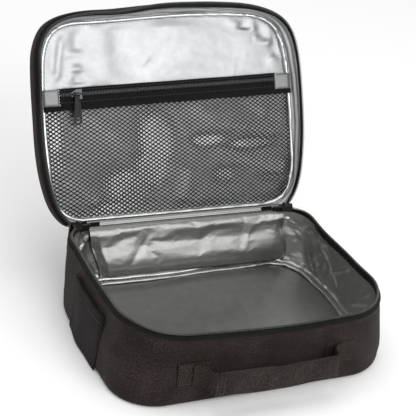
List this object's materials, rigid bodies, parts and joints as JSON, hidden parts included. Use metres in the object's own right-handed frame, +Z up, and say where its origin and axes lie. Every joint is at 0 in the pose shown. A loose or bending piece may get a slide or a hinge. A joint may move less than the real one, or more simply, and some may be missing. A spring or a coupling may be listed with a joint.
{
  "type": "insulated cooler bag",
  "caption": "Soft-sided insulated lunch bag with a hinged zip lid, foil lining, mesh lid pocket, front grip handle and side slip pocket.",
  "frame": {"origin": "centre of the bottom panel's flat underside", "axes": "+Z up, -Y towards the front with the handle, +Y towards the lid's hinge, +X to the right"},
  "size_m": [0.2603, 0.3076, 0.229],
  "materials": {
    "charcoal_weave": "matte",
    "black_fabric": "matte",
    "webbing": "satin",
    "foam": "matte",
    "foil_liner": "satin",
    "foil_binding": "gloss",
    "zip_tape": "matte",
    "zip_coil": "satin",
    "mesh": "matte",
    "black_metal": "satin",
    "bright_metal": "satin"
  },
  "bodies": {
    "tub": {"base_bottom_panel": "black_fabric", "base_wall_fabric": "charcoal_weave", "base_back_panel": "charcoal_weave", "rim_seam_fold": "black_fabric", "floor_foam": "foam", "wall_foam": "foam", "back_foam": "foam", "floor_liner": "foil_liner", "wall_liner": "foil_liner", "back_liner": "foil_liner", "floor_seam_binding": "foil_binding", "hinge_pad_foam": "foam", "hinge_pad_liner": "foil_liner", "hinge_fold": "black_fabric", "base_zip_tape": "zip_tape", "base_zip_coil": "zip_coil", "zip_end_tab_left": "zip_tape", "zip_end_tab_right": "zip_tape", "side_pocket_panel": "charcoal_weave", "side_pocket_hem": "black_fabric", "handle_patch_left": "webbing", "handle_patch_right": "webbing"},
    "handle": {"handle_loop_left": "webbing", "handle_loop_right": "webbing", "handle_grip_wrap": "charcoal_weave", "handle_grip_core": "foam"},
    "lid": {"lid_top_panel": "charcoal_weave", "lid_gusset": "charcoal_weave", "lid_back_gusset": "charcoal_weave", "lid_seam_fold": "black_fabric", "lid_foam": "foam", "lid_gusset_foam": "foam", "lid_liner": "foil_liner", "lid_gusset_liner": "foil_liner", "lid_seam_binding": "foil_binding", "lid_zip_tape": "zip_tape", "lid_zip_coil": "zip_coil", "mesh_pocket": "mesh", "mesh_hem": "black_fabric", "mesh_zip_lower_tape": "zip_tape", "mesh_zip_upper_tape": "zip_tape", "mesh_zip_coil": "zip_coil", "mesh_zip_stops": "bright_metal", "mesh_end_patch_left": "foil_liner", "mesh_end_patch_right": "foil_liner"},
    "slider_left": {"slider_left": "black_metal"},
    "slider_right": {"slider_right": "black_metal"},
    "pull_left": {"pull_left": "black_metal"},
    "pull_right": {"pull_right": "black_metal"},
    "mesh_slider": {"mesh_slider": "black_metal"},
    "mesh_pull": {"mesh_pull": "black_metal"}
  },
  "joints": [
    {"name": "lid_hinge", "type": "hinge", "parent": "tub", "child": "lid", "pos_m": [0, 0.093, 0.0622], "axis": [-1, 0, 0], "range_deg": [-114.5, 50]},
    {"name": "handle_swing", "type": "hinge", "parent": "tub", "child": "handle", "pos_m": [-0.006, -0.09545, 0.028], "axis": [-1, 0, 0], "range_deg": [-40, 50], "stiffness_Nm_per_rad": 0.06, "deforming": ["handle_loop_left", "handle_loop_right"]},
    {"name": "slider_left_run", "type": "hinge", "parent": "tub", "child": "slider_left", "pos_m": [-0.0925, 0.063, 0.0603], "axis": [0, 0, 1], "range_deg": [0, 65]},
    {"name": "slider_right_run", "type": "hinge", "parent": "tub", "child": "slider_right", "pos_m": [0.0925, 0.063, 0.0603], "axis": [0, 0, -1], "range_deg": [0, 65]},
    {"name": "pull_left_swing", "type": "hinge", "parent": "slider_left", "child": "pull_left", "pos_m": [-0.10611, 0.09218, 0.0603], "axis": [0.9063, 0.4226, 0], "range_deg": [-3, 75]},
    {"name": "pull_right_swing", "type": "hinge", "parent": "slider_right", "child": "pull_right", "pos_m": [0.10611, 0.09218, 0.0603], "axis": [0.9063, -0.4226, 0], "range_deg": [-3, 75]},
    {"name": "mesh_slider_run", "type": "slide", "parent": "lid", "child": "mesh_slider", "axis": [0.9995, 0.0127, 0.0278], "range_m": [-0.006, 0.186]},
    {"name": "mesh_pull_swing", "type": "hinge", "parent": "mesh_slider", "child": "mesh_pull", "pos_m": [-0.09119, 0.14561, 0.15763], "axis": [-0.9995, -0.0127, -0.0278], "range_deg": [0, 140]}
  ]
}
